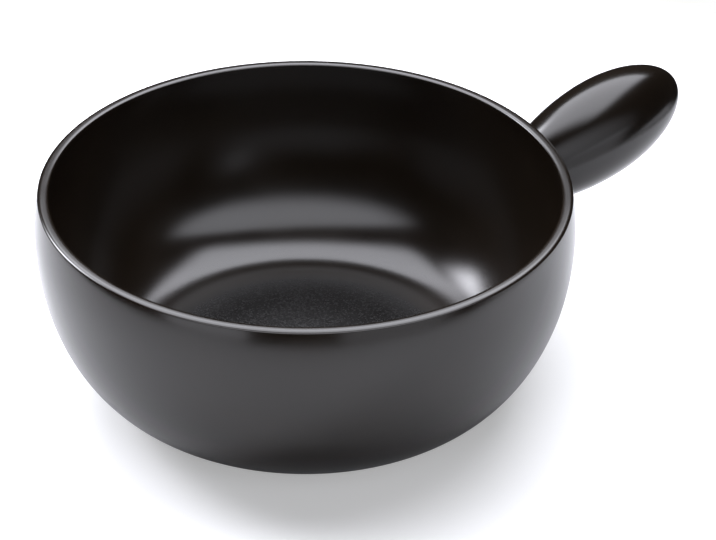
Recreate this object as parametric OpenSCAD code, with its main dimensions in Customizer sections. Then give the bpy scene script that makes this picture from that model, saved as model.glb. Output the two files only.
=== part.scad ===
// Stoneware fondue pot: a round cast bowl with a hollow cast handle, stuck on with slip.
// The foot ring stands on z = 0 around the origin, and the handle points along +X.

/* [Bowl] */
// Outside diameter at the widest point
bowl_d = 230; // [200:1:260]
// Height of the lip above the table
bowl_h = 96; // [88:0.5:110]
// Height of the widest point above the table
belly_h = 77; // [60:0.5:84]
// Diameter of the flat underside, where the wall's curve ends
base_d = 136; // [100:1:170]
// Radius of the wall's curve from the widest point up to the lip
shoulder_r = 90; // [50:1:200]
// Thickness of the cast wall and lip
wall_t = 4.6; // [3:0.1:7]
// Thickness of the floor, which the wall grows to below its widest point
floor_t = 7.4; // [4:0.1:11]
// Rounding of the lip's outer edge
lip_round_out = 2; // [0.5:0.1:2.1]
// Rounding of the lip's inner edge
lip_round_in = 0.9; // [0.3:0.1:1]

/* [Foot ring] */
// How far the ring stands in from the edge of the flat underside
foot_inset = 1; // [0.5:0.5:6]
// Width of the ring
foot_w = 8; // [5:0.5:14]
// Height of the ring below the underside
foot_h = 2.2; // [1:0.1:4]
// Rounding of the ring's lower edges
foot_round = 0.8; // [0.2:0.1:0.9]

/* [Handle] */
// Length along the handle from the bowl's wall to the tip
handle_l = 77.2; // [60:0.2:110]
// Angle by which the handle rises
handle_tilt = 21.6; // [12:0.2:28]
// How far below the widest point the handle's axis leaves the wall
handle_drop = 5; // [3:0.5:14]
// Diameter of the neck at the wall
neck_d = 31.8; // [28:0.2:35]
// Diameter of the grip at its thickest point
grip_d = 43.2; // [39:0.1:48]
// Distance along the handle from the wall to the thickest point
grip_at = 34.6; // [28:0.2:44]
// Thickness of the handle's cast wall
handle_t = 4.2; // [3:0.1:6]
// Diameter of the vent hole on the underside
vent_d = 5; // [3:0.5:8]
// Distance along the handle from the wall to the vent hole
vent_at = 17; // [14:0.5:26]

/* [Slip seam] */
// Thickness of the slip between the handle and the wall
seam_t = 0.8; // [0.4:0.1:1.5]
// How far the slip stands out round the neck
seam_bead = 0.6; // [0.2:0.1:1.2]

/* [Hidden] */
$fn = 96;
glaze_black = "#1d1b1a";
slip_grey = "#3a3735";

// Straight steps that stand for a long curve and for a small rounding
long_steps = 24;
short_steps = 5;

bowl_r = bowl_d / 2;
base_r = base_d / 2;
shoulder_c = [bowl_r - shoulder_r, belly_h];
inner_shoulder_r = shoulder_r - wall_t;
// The lip is level on top, and a small circle rounds each of its edges into the wall
lip_out_angle = asin((bowl_h - lip_round_out - belly_h) / (shoulder_r - lip_round_out));
lip_out_c = on_circle(shoulder_c, shoulder_r - lip_round_out, lip_out_angle);
lip_in_angle = asin((bowl_h - lip_round_in - belly_h) / (inner_shoulder_r + lip_round_in));
lip_in_c = on_circle(shoulder_c, inner_shoulder_r + lip_round_in, lip_in_angle);

foot_out_r = base_r - foot_inset;
foot_in_r = foot_out_r - foot_w;
foot_edge_r = min(foot_round, 0.9 * foot_h, 0.45 * foot_w);

neck_r = neck_d / 2;
grip_r = grip_d / 2;
neck_curve_r = (pow(grip_at, 2) + pow(grip_r - neck_r, 2)) / (2 * (grip_r - neck_r));
neck_c = [grip_r - neck_curve_r, grip_at];
neck_angle = asin(grip_at / neck_curve_r);
// The neck runs on inside the wall until all of its slanted end is cut by the wall
root_l = neck_r * tan(handle_tilt) + 1.2 * wall_t;

function on_circle(c, r, a) = c + r * [cos(a), sin(a)];

function reversed(points) = [for (i = [len(points) - 1:-1:0]) points[i]];

// Circle about c from angle a0 to a1, without its first point where first is 1
function arc(c, r, a0, a1, steps, first = 0) =
    [for (i = [first:steps]) on_circle(c, r, a0 + (a1 - a0) * i / steps)];

// Quarter ellipse about c with half axes a and b, from angle 0 to turn, moved in by
// inset along its normals and without its first point
function oval(c, a, b, turn, inset) = [
    for (i = [1:long_steps])
        let (k = turn * i / long_steps, normal = [b * cos(k), a * sin(k)])
            c + [a * cos(k), b * sin(k)] - inset * normal / norm(normal)
];

// Outside of the bowl's wall, grown by grow, from the lip down to the flat underside
function wall_outside(grow) = concat(
    arc(shoulder_c, shoulder_r + grow, lip_out_angle, 0, short_steps),
    oval([base_r, belly_h], bowl_r - base_r, belly_h - foot_h, -90, -grow)
);

// Inside of the bowl's wall, from the lip down to the flat floor
function wall_inside() = concat(
    arc(shoulder_c, inner_shoulder_r, lip_in_angle, 0, short_steps),
    oval([base_r, belly_h], bowl_r - base_r - wall_t, belly_h - foot_h - floor_t, -90, 0)
);

// One side of the handle's wall, as [radius, distance along the handle], from root to tip
function handle_side(inset) =
    let (neck = arc(neck_c, neck_curve_r - inset, -neck_angle, 0, short_steps))
        concat(
            [neck[0] - root_l * [sin(neck_angle), cos(neck_angle)]],
            neck,
            oval([0, grip_at], grip_r, handle_l - grip_at, 90, inset)
        );

module bowl_section() {
    foot = concat(
        [[foot_out_r, foot_h]],
        arc([foot_out_r - foot_edge_r, foot_edge_r], foot_edge_r, 0, -90, short_steps),
        arc([foot_in_r + foot_edge_r, foot_edge_r], foot_edge_r, -90, -180, short_steps),
        [[foot_in_r, foot_h]]
    );
    floor_centre = [[0, foot_h], [0, foot_h + floor_t]];
    lip = concat(
        arc(lip_in_c, lip_round_in, lip_in_angle + 180, 90, short_steps, 1),
        arc(lip_out_c, lip_round_out, 90, lip_out_angle, short_steps)
    );
    polygon(concat(wall_outside(0), foot, floor_centre, reversed(wall_inside()), lip));
}

// Everything inside the bowl's outer surface, grown outwards by grow and carried on above the lip
module bowl_form(grow) {
    side = wall_outside(grow);
    top = bowl_h + neck_d;
    rotate_extrude()
        polygon(concat([[0, top], [side[0].x, top]], side, [[0, foot_h - grow]]));
}

module at_handle() {
    translate([bowl_r, 0, belly_h - handle_drop])
        rotate([0, 90 - handle_tilt, 0])
            children();
}

module handle_shell(outer_inset, inner_inset) {
    at_handle()
        rotate_extrude()
            polygon(concat(handle_side(outer_inset), reversed(handle_side(inner_inset))));
}

module vent_hole() {
    at_handle()
        translate([0, 0, vent_at])
            rotate([0, 90, 0])
                cylinder(d = vent_d, h = grip_d);
}

module bowl() {
    color(glaze_black)
        rotate_extrude()
            bowl_section();
}

module handle() {
    color(glaze_black)
        difference() {
            handle_shell(0, handle_t);
            bowl_form(seam_t);
            vent_hole();
        }
}

module handle_seam() {
    color(slip_grey)
        intersection() {
            handle_shell(-seam_bead, handle_t);
            difference() {
                bowl_form(seam_t);
                bowl_form(0);
            }
        }
}

bowl();
handle();
handle_seam();
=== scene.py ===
from math import asin, atan2, cos, degrees, hypot, pi, radians, sin, sqrt, tan

import bmesh
import bpy
from mathutils import Matrix, Vector


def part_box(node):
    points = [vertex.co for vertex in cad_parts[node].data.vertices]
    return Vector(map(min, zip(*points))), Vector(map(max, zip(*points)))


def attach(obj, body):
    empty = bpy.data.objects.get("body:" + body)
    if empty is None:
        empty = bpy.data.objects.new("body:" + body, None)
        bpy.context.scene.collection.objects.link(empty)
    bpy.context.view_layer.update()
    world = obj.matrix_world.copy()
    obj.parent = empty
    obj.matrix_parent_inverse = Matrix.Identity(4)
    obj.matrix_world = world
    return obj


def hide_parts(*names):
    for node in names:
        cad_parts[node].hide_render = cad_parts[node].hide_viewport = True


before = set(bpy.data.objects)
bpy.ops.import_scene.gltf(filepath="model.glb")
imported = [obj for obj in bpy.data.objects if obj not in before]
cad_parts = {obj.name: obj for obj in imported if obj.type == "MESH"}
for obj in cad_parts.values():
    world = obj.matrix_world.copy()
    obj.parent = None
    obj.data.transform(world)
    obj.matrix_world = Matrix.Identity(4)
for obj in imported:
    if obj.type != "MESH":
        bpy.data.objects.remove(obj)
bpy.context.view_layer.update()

mm = 0.001
sharpDeg = 45       # edges that turn by more than this count as sharp
print("frame loaded:", ", ".join(sorted(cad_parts)))


# camera, at the photograph's angle. Azimuth is turned round from looking along +Y
cameraView = {
    "azimuth": -27.76,
    "elevation": 30.455,
    "distance": 1150 * mm,
    "aimHeight": 96 * mm,
    "pan": -1.304,          # how far the frame is turned off the pot's axis, in degrees
    "tilt": -1.788,
    "roll": 0.751,
    "lens": 136.65,
}


def addCamera(s):
    around = Matrix.Rotation(radians(s["azimuth"]), 4, "Z")
    climb = radians(s["elevation"])
    seat = Vector((0, -s["distance"] * cos(climb), s["aimHeight"] + s["distance"] * sin(climb)))
    turn = Matrix.Rotation(radians(s["pan"]), 4, "Z")
    nod = Matrix.Rotation(radians(90 - s["elevation"] + s["tilt"]), 4, "X")
    lean = Matrix.Rotation(radians(s["roll"]), 4, "Z")
    camera = bpy.data.objects.new("camera", bpy.data.cameras.new("camera"))
    camera.data.lens = s["lens"]
    camera.matrix_world = around @ Matrix.Translation(seat) @ turn @ nod @ lean
    bpy.context.collection.objects.link(camera)
    bpy.context.scene.camera = camera


addCamera(cameraView)
print("camera set")


# shared helpers
def arcPoints(centre, radii, fromDeg, toDeg, steps):
    # ellipse arc in the profile plane
    points = []
    for i in range(steps + 1):
        a = radians(fromDeg + (toDeg - fromDeg) * i / steps)
        points.append(Vector(centre) + Vector((radii[0] * cos(a), radii[1] * sin(a))))
    return points


def spinProfile(points, steps):
    # a profile of (radius, height) points turned once round Z
    bm = bmesh.new()
    verts = [bm.verts.new((p[0], 0, p[1])) for p in points]
    for a, b in zip(verts, verts[1:]):
        bm.edges.new((a, b))
    bmesh.ops.spin(bm, geom=bm.verts[:] + bm.edges[:], cent=(0, 0, 0), axis=(0, 0, 1),
                   angle=2 * pi, steps=steps, use_merge=True)
    bmesh.ops.remove_doubles(bm, verts=bm.verts, dist=0.001 * mm)
    bmesh.ops.recalc_face_normals(bm, faces=bm.faces)
    return bm


def finishPiece(bm, name, node, materials):
    mesh = bpy.data.meshes.new(name)
    bm.to_mesh(mesh)
    bm.free()
    for material in materials:
        mesh.materials.append(material)
    mesh.shade_smooth()
    mesh.set_sharp_from_angle(angle=radians(sharpDeg))
    piece = bpy.data.objects.new(name, mesh)
    bpy.context.collection.objects.link(piece)
    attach(piece, "root")
    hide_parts(node)
    print(name, "made,", len(mesh.polygons), "faces")


class NodeBoard:
    # the node tree of a material, a light or the world, with one short call per node
    def __init__(self, owner, shader):
        owner.use_nodes = True
        self.tree = owner.node_tree
        self.shader = self.tree.nodes[shader]

    def add(self, kind, inputs=None, **options):
        node = self.tree.nodes.new(kind)
        for option, value in options.items():
            setattr(node, option, value)
        for socket, value in (inputs or {}).items():
            if isinstance(value, bpy.types.NodeSocket):
                self.tree.links.new(value, node.inputs[socket])
            else:
                node.inputs[socket].default_value = value
        return node

    def math(self, operation, a, b):
        return self.add("ShaderNodeMath", {0: a, 1: b}, operation=operation).outputs[0]

    def noise(self, coords, scale, detail=2.0, roughness=0.5):
        node = self.add("ShaderNodeTexNoise", {"Vector": coords, "Scale": scale, "Detail": detail,
                                               "Roughness": roughness})
        return node.outputs["Fac"]

    def ramp(self, value, low, high, toLow=0.0, toHigh=1.0, smooth=True):
        span = {"Value": value, "From Min": low, "From Max": high, "To Min": toLow, "To Max": toHigh}
        node = self.add("ShaderNodeMapRange", span,
                        interpolation_type="SMOOTHSTEP" if smooth else "LINEAR")
        return node.outputs["Result"]

    def mixColour(self, factor, a, b):
        node = self.add("ShaderNodeMix", {"Factor": factor, "A": a, "B": b}, data_type="RGBA")
        return node.outputs["Result"]

    def feed(self, **links):
        for socket, value in links.items():
            name = socket.replace("_", " ")
            if isinstance(value, bpy.types.NodeSocket):
                self.tree.links.new(value, self.shader.inputs[name])
            else:
                self.shader.inputs[name].default_value = value


# glaze and clay
glazeLook = {
    "deep": (0.0058, 0.0039, 0.0024, 1),     # where the glaze lies thick
    "thin": (0.0080, 0.0054, 0.0034, 1),     # where it runs thin and warms up
    "scoured": (0.0056, 0.0052, 0.0050, 1),  # the floor inside, greyed by spoons
    "cloudScale": 24,
    "cloudColour": (0.35, 0.7),              # part of the cloud noise that shifts the colour
    "cloudRough": (0.3, 0.7),
    "roughLow": 0.17,
    "roughHigh": 0.21,
    "ior": 1.52,
    "waveScale": 34,                         # the cast wall is not quite even
    "waveDepth": 0.09 * mm,
    "grainScale": 1500,
    "grainDepth": 0.004 * mm,
    "speckScale": 1100,                      # specks in the scoured floor
    "speckRange": (0.35, 0.7),
    "speckRough": 0.1,
    "speckDepth": 0.010 * mm,
    "scourEdge": 8 * mm,                     # how softly the scoured floor ends
    "scourAbove": 5 * mm,                    # height between the underside and the floor inside
}


def makeGlaze(name, s, floorRadius=None):
    glaze = bpy.data.materials.new(name)
    board = NodeBoard(glaze, "Principled BSDF")
    coords = board.add("ShaderNodeTexCoord").outputs["Object"]
    cloud = board.noise(coords, s["cloudScale"], detail=4)
    wave = board.noise(coords, s["waveScale"], detail=1)
    grain = board.noise(coords, s["grainScale"], detail=2)
    colour = board.mixColour(board.ramp(cloud, *s["cloudColour"]), s["deep"], s["thin"])
    rough = board.ramp(cloud, *s["cloudRough"], s["roughLow"], s["roughHigh"])
    depth = board.math("MULTIPLY", wave, s["waveDepth"])
    depth = board.math("ADD", depth, board.math("MULTIPLY", grain, s["grainDepth"]))
    if floorRadius:
        # the flat floor inside is matt and speckled
        spot = board.add("ShaderNodeSeparateXYZ", {"Vector": coords}).outputs
        flat = board.add("ShaderNodeCombineXYZ", {"X": spot["X"], "Y": spot["Y"]}).outputs[0]
        fromAxis = board.add("ShaderNodeVectorMath", {0: flat}, operation="LENGTH").outputs["Value"]
        inside = board.math("GREATER_THAN", spot["Z"], s["scourAbove"])
        within = board.ramp(fromAxis, floorRadius - s["scourEdge"], floorRadius, 1, 0)
        onFloor = board.math("MULTIPLY", inside, within)
        speck = board.noise(coords, s["speckScale"], detail=3, roughness=0.6)
        speck = board.ramp(speck, *s["speckRange"])
        colour = board.mixColour(onFloor, colour, s["scoured"])
        matt = board.ramp(speck, 0, 1, 0, s["speckRough"])
        rough = board.math("ADD", rough, board.math("MULTIPLY", onFloor, matt))
        pit = board.math("MULTIPLY", board.math("MULTIPLY", speck, onFloor), s["speckDepth"])
        depth = board.math("ADD", depth, pit)
    bump = board.add("ShaderNodeBump", {"Height": depth, "Strength": 1.0, "Distance": 1.0}).outputs["Normal"]
    board.feed(Base_Color=colour, Roughness=rough, Normal=bump, IOR=s["ior"])
    return glaze


clayLook = {
    "pale": (0.30, 0.235, 0.18, 1),
    "dark": (0.17, 0.125, 0.09, 1),
    "grogScale": 900,
    "grogRange": (0.35, 0.65),
    "grogDepth": 0.12 * mm,
    "rough": 0.9,
}


def makeClay(name, s):
    clay = bpy.data.materials.new(name)
    board = NodeBoard(clay, "Principled BSDF")
    coords = board.add("ShaderNodeTexCoord").outputs["Object"]
    grog = board.noise(coords, s["grogScale"], detail=4, roughness=0.65)
    colour = board.mixColour(board.ramp(grog, *s["grogRange"]), s["dark"], s["pale"])
    depth = board.math("MULTIPLY", grog, s["grogDepth"])
    bump = board.add("ShaderNodeBump", {"Height": depth, "Strength": 1.0, "Distance": 1.0}).outputs["Normal"]
    board.feed(Base_Color=colour, Roughness=s["rough"], Normal=bump)
    return clay


# bowl: one profile from the floor's centre over the lip and down to the foot ring
bowlShape = {
    "bellyHeight": 77 * mm,
    "shoulderRadius": 90 * mm,
    "baseRadius": 68 * mm,
    "wall": 4.6 * mm,
    "floor": 7.4 * mm,
    "lipEdgeOut": (2.1 * mm, 1.2 * mm),    # width and drop of the lip's rounded edges
    "lipEdgeIn": (1.8 * mm, 0.8 * mm),
    "footInset": 1 * mm,
    "footWidth": 8 * mm,
    "footHeight": 2.2 * mm,
    "footRound": 0.8 * mm,
    "spinSteps": 256,
    "wallSteps": 56,
    "shoulderSteps": 8,
    "lipSteps": 14,
    "footSteps": 4,
    "floorRings": 8,
    "lipRounds": 8,        # rounds that find where the lip's rounding runs into the wall
}
bowlLow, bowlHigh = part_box("bowl")
bowlRadius = -bowlLow.x
bowlHeight = bowlHigh.z


def bowlSide(s, inset, floorAt, edge, side):
    # one side of the wall from the lip down to the flat floor, with the centre and the end angle
    # of the lip's rounded edge. Side is 1 outside and -1 inside
    curve = s["shoulderRadius"] - inset
    centre = Vector((bowlRadius - s["shoulderRadius"], s["bellyHeight"]))
    angle = 0
    for _ in range(s["lipRounds"]):
        reach = Vector((edge[0] ** 2 * cos(angle), edge[1] ** 2 * sin(angle)))
        reach *= side / hypot(edge[0] * cos(angle), edge[1] * sin(angle))
        angle = asin((bowlHeight - edge[1] + reach.y - s["bellyHeight"]) / curve)
    edgeCentre = centre + curve * Vector((cos(angle), sin(angle))) - reach
    edgeDeg = degrees(atan2(edge[1] * sin(angle), edge[0] * cos(angle)))
    shoulder = arcPoints(centre, (curve, curve), degrees(angle), 0, s["shoulderSteps"])
    radii = (bowlRadius - inset - s["baseRadius"], s["bellyHeight"] - floorAt)
    oval = arcPoints((s["baseRadius"], s["bellyHeight"]), radii, 0, -90, s["wallSteps"])
    return shoulder + oval[1:], edgeCentre, edgeDeg


def makeBowl(s, glaze, clay):
    outside, outCentre, outDeg = bowlSide(s, 0, s["footHeight"], s["lipEdgeOut"], 1)
    inside, inCentre, inDeg = bowlSide(s, s["wall"], s["footHeight"] + s["floor"], s["lipEdgeIn"], -1)
    lip = arcPoints(inCentre, s["lipEdgeIn"], inDeg + 180, 90, s["lipSteps"])
    lip += arcPoints(outCentre, s["lipEdgeOut"], 90, outDeg, s["lipSteps"])
    floorTop = inside[-1].y
    floor = [(s["baseRadius"] * i / s["floorRings"], floorTop) for i in range(s["floorRings"])]
    footOut = s["baseRadius"] - s["footInset"]
    footIn = footOut - s["footWidth"]
    edge = (s["footRound"], s["footRound"])
    foot = [(footOut, s["footHeight"])]
    foot += arcPoints((footOut - edge[0], edge[0]), edge, 0, -90, s["footSteps"])
    foot += arcPoints((footIn + edge[0], edge[0]), edge, -90, -180, s["footSteps"])
    foot += [(footIn, s["footHeight"]), (0, s["footHeight"])]
    bm = spinProfile(floor + inside[::-1] + lip[1:-1] + outside + foot, s["spinSteps"])
    for face in bm.faces:
        if face.calc_center_median().z < s["footRound"]:   # wiped clean of glaze before firing
            face.material_index = 1
    finishPiece(bm, "pot_bowl", "bowl", [glaze, clay])


bowlGlaze = makeGlaze("bowl_glaze", glazeLook, floorRadius=bowlShape["baseRadius"])
bareClay = makeClay("bare_clay", clayLook)
makeBowl(bowlShape, bowlGlaze, bareClay)


# handle: an egg turned about its own axis, its neck cut to the bowl's wall
handleShape = {
    "tilt": 21.6,
    "drop": 5 * mm,
    "neckRadius": 15.9 * mm,
    "gripRadius": 21.6 * mm,
    "gripAt": 34.6 * mm,
    "length": 77.2 * mm,
    "wall": 4.2 * mm,
    "sink": 0.3 * mm,          # how far the root goes into the slip
    "ventRadius": 2.5 * mm,
    "ventAt": 17 * mm,
    "ventRound": 0.5 * mm,
    "ventRoundSteps": 3,
    "ventSides": 24,
    "ventClear": 1.5,          # faces are cleared this many vent radii round the hole
    "spinSteps": 144,
    "neckSteps": 28,
    "noseSteps": 44,
    "rootRounds": 40,          # rounds of halving that find where the neck meets the wall
}


def bowlRadiusAt(z):
    # outside radius of the bowl's wall at a height
    s = bowlShape
    up = z - s["bellyHeight"]
    if up > 0:
        return bowlRadius - s["shoulderRadius"] + sqrt(max(s["shoulderRadius"] ** 2 - up ** 2, 0))
    across = bowlRadius - s["baseRadius"]
    return s["baseRadius"] + across * sqrt(max(1 - (up / (s["bellyHeight"] - s["footHeight"])) ** 2, 0))


handlePlace = (Matrix.Translation((bowlRadius, 0, bowlShape["bellyHeight"] - handleShape["drop"]))
               @ Matrix.Rotation(radians(90 - handleShape["tilt"]), 4, "Y"))


def neckRadiusAt(s, along):
    swell = s["gripRadius"] - s["neckRadius"]
    curve = (s["gripAt"] ** 2 + swell ** 2) / (2 * swell)
    if along > 0:
        return s["gripRadius"] - curve + sqrt(curve ** 2 - (s["gripAt"] - along) ** 2)
    return s["neckRadius"] + along * tan(asin(s["gripAt"] / curve))


def neckPoint(s, angle, along, grow=0.0):
    r = neckRadiusAt(s, along) + grow
    return Vector((r * cos(angle), r * sin(angle), along))


def alongAtWall(s, angle, lift, grow=0.0):
    # how far along the handle its neck stands lift outside the bowl's wall, by halving
    low, high = -s["neckRadius"], s["gripAt"]
    for _ in range(s["rootRounds"]):
        middle = (low + high) / 2
        p = handlePlace @ neckPoint(s, angle, middle, grow)
        if hypot(p.x, p.y) - bowlRadiusAt(p.z) < lift:
            low = middle
        else:
            high = middle
    return (low + high) / 2


def cutVent(bm, s):
    # a round hole in the underside, with its rim bridged into the neck's faces
    clear = s["ventRadius"] * s["ventClear"]
    near = [f for f in bm.faces if f.calc_center_median().x > 0
            and hypot(f.calc_center_median().y, f.calc_center_median().z - s["ventAt"]) < clear]
    bmesh.ops.delete(bm, geom=near, context="FACES")
    reach = 2 * clear      # takes in all of the gap's edge and nothing of the open root
    gap = [e for e in bm.edges if e.is_boundary and e.verts[0].co.x > 0
           and hypot(e.verts[0].co.y, e.verts[0].co.z - s["ventAt"]) < reach]
    seat = Matrix.Translation((0, 0, s["ventAt"])) @ Matrix.Rotation(pi / 2, 4, "Y")
    ring = bmesh.ops.create_circle(bm, segments=s["ventSides"], radius=s["ventRadius"], matrix=seat)
    for v in ring["verts"]:
        v.co.x = sqrt(neckRadiusAt(s, v.co.z) ** 2 - v.co.y ** 2)
    rim = list({e for v in ring["verts"] for e in v.link_edges})
    bmesh.ops.bridge_loops(bm, edges=gap + rim)


def roundVent(bm, s):
    # softens the outer rim of the hole, the sharp edges in the outer half of the wall
    reach = 1.1 * s["ventRadius"]
    rim = [e for e in bm.edges if e.calc_face_angle(0) > radians(sharpDeg)
           and all(v.co.x > neckRadiusAt(s, v.co.z) - s["wall"] / 2
                   and hypot(v.co.y, v.co.z - s["ventAt"]) < reach for v in e.verts)]
    bmesh.ops.bevel(bm, geom=rim, offset=s["ventRound"], offset_type="OFFSET", affect="EDGES",
                    segments=s["ventRoundSteps"], profile=0.5, material=-1, clamp_overlap=True)


def makeHandle(s, glaze):
    neck = [(neckRadiusAt(s, s["gripAt"] * i / s["neckSteps"]), s["gripAt"] * i / s["neckSteps"])
            for i in range(s["neckSteps"])]
    nose = arcPoints((0, s["gripAt"]), (s["gripRadius"], s["length"] - s["gripAt"]), 0, 90, s["noseSteps"])
    bm = spinProfile(neck + nose, s["spinSteps"])
    for v in bm.verts:
        if v.co.z < s["gripAt"]:   # slide each row of the neck so that the first one lies on the wall
            angle = atan2(v.co.y, v.co.x)
            root = alongAtWall(s, angle, -s["sink"])
            v.co = neckPoint(s, angle, root + v.co.z * (1 - root / s["gripAt"]))
    cutVent(bm, s)
    bmesh.ops.recalc_face_normals(bm, faces=bm.faces)
    bmesh.ops.solidify(bm, geom=bm.faces[:], thickness=s["wall"])
    roundVent(bm, s)
    bmesh.ops.transform(bm, matrix=handlePlace, verts=bm.verts)
    finishPiece(bm, "pot_handle", "handle", [glaze])


handleGlaze = makeGlaze("handle_glaze", glazeLook)
makeHandle(handleShape, handleGlaze)


# slip seam: a small hollow fillet round the root of the handle
seamShape = {
    "lift": 1.3 * mm,          # how far it climbs the neck
    "reach": 1.1 * mm,         # how far it spreads on the wall
    "sink": 0.5 * mm,          # how far its back goes into both
    "rows": 6,
    "sides": 144,
}


def seamPoint(angle, lift, grow):
    return handlePlace @ neckPoint(handleShape, angle, alongAtWall(handleShape, angle, lift, grow), grow)


def makeSeam(s, glaze):
    bm = bmesh.new()
    steps = [i / s["rows"] for i in range(s["rows"] + 1)]
    section = [(s["lift"] * (1 - t) ** 2, s["reach"] * t ** 2) for t in steps]
    section += [(-s["sink"], -s["sink"])]
    rings = []
    for lift, grow in section:
        ring = bmesh.ops.create_circle(bm, segments=s["sides"], radius=1)["verts"]
        for v in ring:
            v.co = seamPoint(atan2(v.co.y, v.co.x), lift, grow)
        rings.append(list({e for v in ring for e in v.link_edges}))
    for a, b in zip(rings, rings[1:] + rings[:1]):
        bmesh.ops.bridge_loops(bm, edges=a + b)
    bmesh.ops.recalc_face_normals(bm, faces=bm.faces)
    finishPiece(bm, "pot_handle_seam", "handle_seam", [glaze])


seamGlaze = makeGlaze("seam_glaze", glazeLook)
makeSeam(seamShape, seamGlaze)


# floor
floorLook = {
    "radius": 0.42,
    "sides": 128,
    "softEdge": 0.05,   # how far in from its edge the floor starts to fade out
    "colour": (0.72, 0.72, 0.72, 1),
    "rough": 0.7,
    "lift": 0.35,       # glow that only the camera sees, which thins the shadow
}


def makeFloor(s):
    bm = bmesh.new()
    bmesh.ops.create_circle(bm, cap_ends=True, segments=s["sides"], radius=s["radius"])
    mesh = bpy.data.meshes.new("floor")
    bm.to_mesh(mesh)
    bm.free()
    paint = bpy.data.materials.new("pale_floor")
    board = NodeBoard(paint, "Principled BSDF")
    coords = board.add("ShaderNodeTexCoord").outputs["Object"]
    fromAxis = board.add("ShaderNodeVectorMath", {0: coords}, operation="LENGTH").outputs["Value"]
    seen = board.add("ShaderNodeLightPath").outputs["Is Camera Ray"]
    board.feed(Base_Color=s["colour"], Roughness=s["rough"], Emission_Color=(1, 1, 1, 1),
               Emission_Strength=board.math("MULTIPLY", seen, s["lift"]),
               Alpha=board.ramp(fromAxis, s["radius"] - s["softEdge"], s["radius"], 1, 0))
    mesh.materials.append(paint)
    floor = bpy.data.objects.new("floor", mesh)
    bpy.context.collection.objects.link(floor)


makeFloor(floorLook)
print("floor laid")


# studio light. Places are in metres as the camera sees them: right, away, up. Fade is the soft part
# of a cloth's left, right, lower and upper edge, and nearLevel the part of its glow at the lower edge
softboxes = {
    "overhead": {
        "place": (-0.015, 1.108, 1.56), "aim": (-0.015, 1.108, 0), "size": (2.63, 3.045),
        "glow": 7.5, "nearLevel": 0.82, "fade": (0.16, 0.175, 0.148, 0.359),
        "onto": ("pot_bowl", "pot_handle_seam", "floor"),
    },
    "overhead_handle": {
        "place": (-0.006, 0.183, 0.42), "aim": (-0.006, 0.183, 0), "size": (0.57, 0.515), "turn": -22,
        "glow": 6.1, "nearLevel": 0.75, "fade": (0.12, 0.13, 0.28, 0.04), "onto": ("pot_handle",),
    },
    "back_left": {
        "place": (-1.76, 1.01, 1.25), "aim": (0.0, 0.0, 0.06), "size": (1.43, 1.75),
        "glow": 22, "fade": (0.42, 0.42, 0.42, 0.42),
    },
    "front": {
        "place": (0.19, -0.233, 0.656), "aim": (0.19, 0.167, 0.21), "size": (2.07, 0.92), "turn": 6,
        "round": 0.38, "fold": 0.5,     # a round cloth, soft at its rim, with its upper half folded away
        "glow": 3.2, "fade": (0.01, 0.01, 0.01, 0.089), "onto": ("pot_bowl", "pot_handle_seam"),
    },
    "front_handle": {
        "place": (0.40, -0.40, 0.45), "aim": (0.40, 0, 0.45), "size": (1.20, 0.66),
        "glow": 1.3, "fade": (0.13, 0.85, 0.2, 0.6), "onto": ("pot_handle", "floor"),
    },
    "card_left": {
        "place": (-0.67, -0.87, 0.06), "aim": (0, 0, 0.06), "size": (0.73, 0.60),
        "glow": 1.8, "fade": (0.1, 0.1, 0.1, 0.1),
    },
    "card_right": {
        "place": (0.654, -0.884, 0.06), "aim": (0, 0, 0.06), "size": (1.06, 0.62),
        "glow": 1.0, "fade": (0.1, 0.3, 0.1, 0.1),
    },
    "table_right": {
        "place": (0.62, 0.0, 0.002), "aim": (0.62, 0.0, 1), "size": (0.90, 0.50),
        "glow": 1.5, "fade": (0.3, 0.5, 0.3, 0.3),
    },
}
roomLook = {
    "tint": (0.92, 0.93, 1.0),     # the cloth of the softboxes is a little cool
    "glow": 0.02,       # what the glaze sees between the softboxes
    "backdrop": 1.0,    # what the camera sees behind the floor
}


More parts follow.
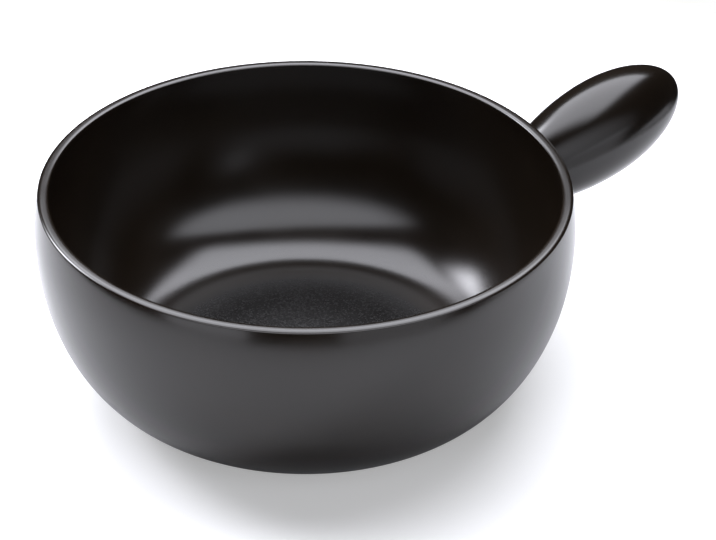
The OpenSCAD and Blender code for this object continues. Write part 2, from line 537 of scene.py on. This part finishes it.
def addSoftbox(name, s):
    around = Matrix.Rotation(radians(cameraView["azimuth"]), 4, "Z")
    place = Vector(s["place"])
    facing = (Vector(s["aim"]) - place).to_track_quat("-Z", "Y").to_matrix().to_4x4()
    turn = Matrix.Rotation(radians(s.get("turn", 0)), 4, "Z")
    light = bpy.data.lights.new(name, "AREA")
    light.shape = "ELLIPSE" if "round" in s else "RECTANGLE"
    light.size, light.size_y = s["size"]
    area = light.size * light.size_y * (pi / 4 if "round" in s else 1)
    light.energy = s["glow"] * pi * area
    light.color = roomLook["tint"]
    # the cloth fades out towards its left, right, lower and upper edge, and a round one at its rim
    board = NodeBoard(light, "Emission")
    spot = board.add("ShaderNodeNewGeometry").outputs["Parametric"]
    cloth = board.add("ShaderNodeSeparateXYZ", {"Vector": spot}).outputs
    left, right, lower, upper = s["fade"]
    top = 1 - s.get("fold", 0)
    fades = [board.ramp(cloth["X"], 0, left), board.ramp(cloth["X"], 1, 1 - right),
             board.ramp(cloth["Y"], 0, lower), board.ramp(cloth["Y"], top, top - upper)]
    if "round" in s:
        fromMiddle = board.add("ShaderNodeVectorMath", {0: spot, 1: (0.5, 0.5, 0)}, operation="DISTANCE")
        fades.append(board.ramp(fromMiddle.outputs["Value"], 0.5, 0.5 - s["round"] / 2))
    level = board.ramp(cloth["Y"], 0, 1, s.get("nearLevel", 1), 1, smooth=False)
    for fade in fades:
        level = board.math("MULTIPLY", level, fade)
    board.feed(Strength=level)
    box = bpy.data.objects.new(name, light)
    box.matrix_world = around @ Matrix.Translation(place) @ facing @ turn
    box.visible_camera = False
    bpy.context.collection.objects.link(box)
    if "onto" in s:     # lights these pieces only
        box.light_linking.receiver_collection = bpy.data.collections.new(name + "_lights")
        for piece in s["onto"]:
            box.light_linking.receiver_collection.objects.link(bpy.data.objects[piece])


def makeRoom(s):
    world = bpy.data.worlds.new("room")
    bpy.context.scene.world = world
    board = NodeBoard(world, "Background")
    seen = board.add("ShaderNodeLightPath").outputs["Is Camera Ray"]
    board.feed(Color=(1, 1, 1, 1), Strength=board.ramp(seen, 0, 1, s["glow"], s["backdrop"], smooth=False))


for name, settings in softboxes.items():
    addSoftbox(name, settings)
makeRoom(roomLook)
bpy.context.scene.view_settings.view_transform = "Standard"
print("studio set,", len(softboxes), "softboxes")
